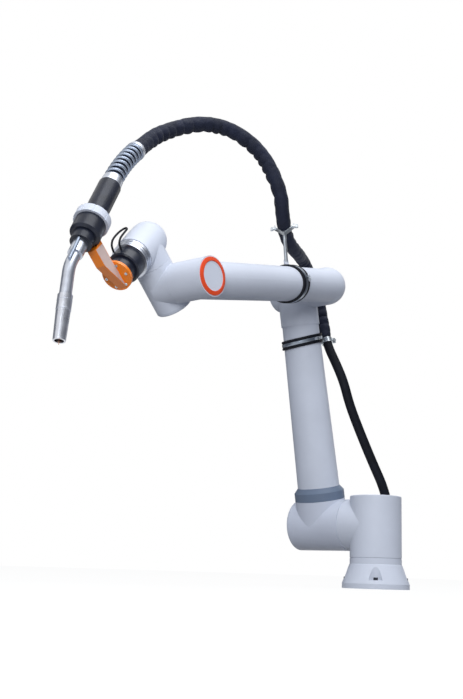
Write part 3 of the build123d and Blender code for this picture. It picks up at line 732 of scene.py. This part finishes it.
def screwCircle(name, look, centre, first, second, axis, finish, body):
    for i in range(look["count"]):
        outward = between(first, second, look["turn"] + 360 / look["count"] * i)
        screw = socketScrew(f"{name}{i + 1}", centre + outward * look["circle"], axis,
                            look["radius"], look["height"])
        wear(screw, finish, body)


plateSide = toolDir.cross(wristDir)
screwCircle("footScrew", footLook, upright * footLook["floor"], forward, across, upright,
            "black_plastic", "base")
print("foot screws set")
screwCircle("plateScrew", plateLook, toolCentre + toolDir * plateLook["top"], wristDir, plateSide,
            toolDir, "zinc_steel", "tool")
print("bracket screws set")

# bracket: thin plates beside the fin, whose pale pinkish colour over the fin's orange sides is a
# painted reflection of the lamps on the orange paint
faceLook = {
    "outline": [(-0.029, 0.1495), (0.0465, 0.1825), (0.0880, 0.1825), (0.0880, 0.1515),
                (0.0380, 0.1515), (0.0300, 0.1495)],
    "offset": 0.0118, "thickness": 0.0008, "edge": 0.0003,
}
for name, way in (("bracketSheenLeft", 1), ("bracketSheenRight", -1)):
    depths = (faceLook["offset"], faceLook["offset"] + faceLook["thickness"])
    face = platePiece(name, toolCentre, wristDir, toolDir, plateSide * way, faceLook["outline"],
                      depths, faceLook["edge"])
    wear(face, "bracket_painted_sheen", "tool")
print("bracket faces set")

# wrist: the bright rim round the end disc, a shallow cone
rimLook = {
    "sides": 96,
    "profile": [(0.0374, 0.0560), (0.0476, 0.0560), (0.0476, 0.0578), (0.0474, 0.0586),
                (0.0385, 0.0612), (0.0378, 0.0612), (0.0374, 0.0606)],
}
accentRim = lathe("accentRim", wristHub, across, rimLook["profile"], rimLook["sides"], looped=True)
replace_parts(wear(accentRim, "orange_trim", "forearm"), "accent_ring")
print("accent rim made")

# clamps: a rubber strap with rounded edges, a narrow steel strip round it, and two ears with
# the bolt that closes them
clampLook = {
    "sides": 112,
    # profiles: shares of the rise over the bore, and of the width to each side of the middle
    "rubberWidth": 0.0135, "rubberRise": 0.0052,
    "rubber": [(0, -1), (0.7, -1), (1, -0.86), (1, -0.5), (0.6, -0.44),
               (0.6, 0.44), (1, 0.5), (1, 0.86), (0.7, 1), (0, 1)],
    "stripWidth": 0.0046, "stripRise": 0.0050,
    "strip": [(0.52, -1), (0.93, -1), (1, -0.8), (1, 0.8), (0.93, 1), (0.52, 1)],
    "ear": [(-0.0012, -0.0046), (0.0105, -0.0046), (0.0120, -0.0030), (0.0120, 0.0030),
            (0.0105, 0.0046), (-0.0012, 0.0046)],
    "earStand": 0.0032, "earHalf": 0.0012, "earEdge": 0.0004,
    "boltOut": 0.0068, "boltSides": 28, "boltEdge": 0.0003, "boltEnds": (-0.0095, 0.0092),
    "bolt": [(0.0030, -0.0095), (0.0034, -0.0090), (0.0034, -0.0055), (0.0018, -0.0052),
             (0.0018, 0.0052), (0.0036, 0.0055), (0.0036, 0.0085), (0.0030, 0.0092)],
    # tilt from the tube, and angle of the bolt round it, in degrees
    "armBore": 0.0562, "armTilt": 7, "armBolt": 346,
    "forearmBore": 0.0486, "forearmTilt": 16, "forearmBolt": 8,
}
leaning = Vector((1, -1, 0)).normalized()
armNormal = between(armDir, leaning, clampLook["armTilt"])
forearmNormal = between(forearmDir, across, clampLook["forearmTilt"])
clamps = [
    # name, centre, axis, normal, body
    ("arm", armClampCentre, armDir, armNormal, "upper_arm"),
    ("forearm", forearmClampCentre, forearmDir, forearmNormal, "forearm"),
]


def slantPoint(centre, axis, normal, radial, width=0.0):
    # a point beside the tube, moved along it into the slanting plane
    return centre + radial + axis * ((width - normal.dot(radial)) / normal.dot(axis))


def slantPiece(name, centre, axis, normal, out, bore, kind):
    other = axis.cross(out)
    sides, verts = clampLook["sides"], []
    for high, wide in clampLook[kind]:
        radius = bore + clampLook[kind + "Rise"] * high
        for radial in ringPoints(Vector(), out, other, radius, sides):
            verts.append(slantPoint(centre, axis, normal, radial,
                                    clampLook[kind + "Width"] * wide))
    return meshPiece(name, verts, skin(len(clampLook[kind]), sides, caps=0, looped=True))


for name, centre, axis, normal, body in clamps:
    look, bore = clampLook, clampLook[name + "Bore"]
    out = (across - axis * across.dot(axis)).normalized()
    rubber = slantPiece(f"{name}ClampRubber", centre, axis, normal, out, bore, "rubber")
    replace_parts(wear(rubber, "lead_rubber", body), f"{name}_clamp_liner")
    strip = slantPiece(f"{name}ClampStrip", centre, axis, normal, out, bore, "strip")
    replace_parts(wear(strip, "strap_steel", body), f"{name}_clamp_band")
    radial = between(out, axis.cross(out), look[name + "Bolt"])
    along = axis.cross(radial)
    seat = slantPoint(centre, axis, normal, radial * (bore + look["stripRise"]))
    for number, side in ((1, -1), (2, 1)):
        depths = [look["earStand"] * side + half for half in (-look["earHalf"], look["earHalf"])]
        ear = platePiece(f"{name}ClampEar{number}", seat, radial, normal, along, look["ear"],
                         depths, look["earEdge"])
        wear(ear, "zinc_steel", body)
    low, high = look["boltEnds"]
    profile = [(meshLook["pinPoint"], low), *look["bolt"], (meshLook["pinPoint"], high)]
    bolt = lathe(f"{name}ClampBolt", seat + radial * look["boltOut"], along, profile,
                 look["boltSides"])
    wear(softEdges(bolt, look["boltEdge"]), "bare_steel", body)
print("clamps made")

# cradle: two thin arms in a V under the sleeve
cradleLook = {
    "past": 0.062, "facing": 2, "reach": 0.0248, "tip": 0.0125, "top": 0.0045, "bottom": -0.0292,
    "thickness": 0.0030, "topDrop": 0.0012, "bottomDrop": 0.0052, "width": 0.0120,
    "edge": 0.0006,
}


def cradlePiece(centre, face):
    look, above = cradleLook, (forearmUp - face * forearmUp.dot(face)).normalized()
    beside = above.cross(face)
    verts = []
    for way in (-1, 1):
        for thick, topDrop, bottomDrop in ((0, 0, 0), (look["thickness"], look["topDrop"],
                                                       look["bottomDrop"])):
            reach, top = look["reach"] + thick, look["top"] - topDrop
            corners = [(-reach, look["tip"]), (-reach, top), (0, look["bottom"] - bottomDrop),
                       (reach, top), (reach, look["tip"])]
            verts += [centre + beside * x + above * y + face * (look["width"] / 2 * way)
                      for x, y in corners]
    n = len(verts) // 4  # the corners of each of the four outlines
    faces = []
    for k in range(n - 1):
        faces += [(k, k + 1, k + n + 1, k + n),
                  (k + 2 * n, k + 3 * n, k + 3 * n + 1, k + 2 * n + 1),
                  (k, k + 2 * n, k + 2 * n + 1, k + 1),
                  (k + n, k + n + 1, k + 3 * n + 1, k + 3 * n)]
    faces += [(0, n, 3 * n, 2 * n), (n - 1, 3 * n - 1, 4 * n - 1, 2 * n - 1)]
    return softEdges(meshPiece("cradleArms", verts, faces, smooth=False), look["edge"])


cradleAt = placeAt(leadLengths[forkAlong] + cradleLook["past"])
cradleFace = leadLine[cradleAt + cradleLook["facing"]] - leadLine[cradleAt - cradleLook["facing"]]
cradleArms = cradlePiece(leadLine[cradleAt], cradleFace.normalized())
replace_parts(wear(cradleArms, "zinc_steel", "forearm"), "cradle_fork")
print("cradle arms at", [round(v, 4) for v in leadLine[cradleAt]])

# the stub on the forearm's clamp that the cradle's stem stands in
stubLook = {
    "stand": 0.0536, "sides": 32, "edge": 0.0005, "foot": -0.002,
    "profile": [(0.0066, -0.002), (0.0066, 0.0105), (0.00561, 0.015), (0.0051, 0.015)],
}
stemStub = lathe("stemStub", forearmClampCentre + forearmUp * stubLook["stand"], forearmUp,
                 [(meshLook["pinPoint"], stubLook["foot"]), *stubLook["profile"]],
                 stubLook["sides"])
wear(softEdges(stemStub, stubLook["edge"]), "white_paint", "forearm")
print("cradle made")

# studio: pale floor, white surroundings for the camera, soft lamps mostly from above
studio = {
    "floor": (0.18, 0.185, 0.20),
    "floorSeen": (0.97, 0.97, 0.97),
    "floorGlow": 0.94,
    "floorRoughness": 0.8,
    "floorReach": 30,
    "sky": [(0.30, (0.05, 0.06, 0.08)), (0.52, (0.12, 0.13, 0.17)), (0.64, (0.55, 0.60, 0.69)),
            (0.95, (0.88, 0.92, 1.0))],
    "ambient": 0.66,
    "lampTint": (0.93, 0.96, 1.0),
    "lamps": [
        # name, place, aimed at, size, watts
        ("overhead", (0.7, 0.7, 3.3), (0.2, -0.1, 0.6), 2.4, 44),
        ("front", (2.9, 1.6, 1.2), (0.3, -0.1, 0.6), 1.6, 50),
    ],
    "boardColour": (0.01, 0.01, 0.01, 1),
    "boardTint": (1, 1.05, 1.18),
    "boardsFace": (1.0, -0.15, 0.7),
    "boards": [
        # name, place, width, height, tone: boards that only reflections see
        ("boardDark", (1.93, 1.28, 0.5), 1.7, 3.4, 0.01),
        ("boardRight", (0.02, 1.23, 0.6), 3.6, 3.4, 0.14),
        ("boardLeft", (1.41, -1.80, 0.6), 2.6, 3.4, 0.18),
        ("boardBack", (-0.40, -1.15, 0.6), 1.4, 3.4, 0.06),
    ],
}
fourCorners = ((-1, -1), (1, -1), (1, 1), (-1, 1))


def stagePiece(name, centre, first, second, material):
    data = bpy.data.meshes.new(name)
    corners = [Vector(centre) + first * i + second * j for i, j in fourCorners]
    data.from_pydata([tuple(c) for c in corners], [], [(0, 1, 2, 3)])
    data.materials.append(material)
    piece = intoScene(bpy.data.objects.new(name, data))
    return piece


def seenRays(tree):
    # the rays that show the white background: the camera's, and those off metal or through glass
    rays = add(tree, "ShaderNodeLightPath")
    factor = rays.outputs["Is Camera Ray"]
    for kind in ("Is Glossy Ray", "Is Transmission Ray"):
        either = add(tree, "ShaderNodeMath", operation="MAXIMUM")
        tree.links.new(factor, either.inputs[0])
        tree.links.new(rays.outputs[kind], either.inputs[1])
        factor = either.outputs[0]
    return factor


def seenAs(tree, factor, plain, seen, output):
    mix = add(tree, "ShaderNodeMixShader")
    tree.links.new(factor, mix.inputs["Fac"])
    tree.links.new(plain.outputs[0], mix.inputs[1])
    tree.links.new(seen.outputs[0], mix.inputs[2])
    tree.links.new(mix.outputs[0], tree.nodes[output].inputs["Surface"])


# floor: it lights the object as a grey floor does, is seen as white, and keeps the shadow
floorMaterial, tree, shader = newFinish("floorPaint")
shader.inputs["Roughness"].default_value = studio["floorRoughness"]
floorColour = add(tree, "ShaderNodeMix", data_type="RGBA")  # its colours are inputs 6 and 7
floorColour.inputs[6].default_value = (*studio["floor"], 1)
floorColour.inputs[7].default_value = (*studio["floorSeen"], 1)
tree.links.new(seenRays(tree), floorColour.inputs[0])
tree.links.new(floorColour.outputs[2], shader.inputs["Base Color"])
glowShare = add(tree, "ShaderNodeMath", operation="MULTIPLY")
glowShare.inputs[1].default_value = studio["floorGlow"]
tree.links.new(seenRays(tree), glowShare.inputs[0])
glow = add(tree, "ShaderNodeEmission", Strength=1.0)
seenAs(tree, glowShare.outputs[0], shader, glow, "Material Output")
stagePiece("floor", (0, 0, 0), forward * studio["floorReach"], across * studio["floorReach"],
           floorMaterial)

# surroundings: a sky that darkens downwards lights the object, and white is seen
world = bpy.data.worlds.new("surroundings")
bpy.context.scene.world = world
world.use_nodes = True
tree = world.node_tree
white = tree.nodes["Background"]
white.inputs["Color"].default_value = (1, 1, 1, 1)
soft = add(tree, "ShaderNodeBackground", Strength=studio["ambient"])
where = add(tree, "ShaderNodeTexCoord")
split = add(tree, "ShaderNodeSeparateXYZ")
tree.links.new(where.outputs["Generated"], split.inputs[0])
height = add(tree, "ShaderNodeMapRange")
height.inputs["From Min"].default_value = -1
tree.links.new(split.outputs["Z"], height.inputs["Value"])
tree.links.new(ramp(tree, height.outputs["Result"], studio["sky"]), soft.inputs["Color"])
seenAs(tree, seenRays(tree), soft, white, "World Output")

for name, place, aim, size, watts in studio["lamps"]:
    lampData = bpy.data.lights.new(name, "AREA")
    lampData.shape, lampData.size, lampData.energy = "DISK", size, watts
    lampData.color = studio["lampTint"]
    lamp = intoScene(bpy.data.objects.new(name, lampData))
    lamp.location = place
    lamp.rotation_mode = "QUATERNION"
    lamp.rotation_quaternion = (Vector(aim) - Vector(place)).to_track_quat("-Z", "Y")

for name, place, width, height, tone in studio["boards"]:
    boardPaint, tree, shader = newFinish(name)
    shader.inputs["Base Color"].default_value = studio["boardColour"]
    shader.inputs["Emission Color"].default_value = (*(tone * c for c in studio["boardTint"]), 1)
    shader.inputs["Emission Strength"].default_value = 1.0
    toward = (Vector(studio["boardsFace"]) - Vector(place)).normalized()
    beside = toward.cross(upright).normalized() * width / 2
    above = beside.cross(toward).normalized() * height / 2
    board = stagePiece(name, place, beside, above, boardPaint)
    board.visible_camera = board.visible_diffuse = False
    board.visible_shadow = board.visible_transmission = False
bpy.context.scene.view_settings.view_transform = "Standard"
print("studio lit")

print("scene built")
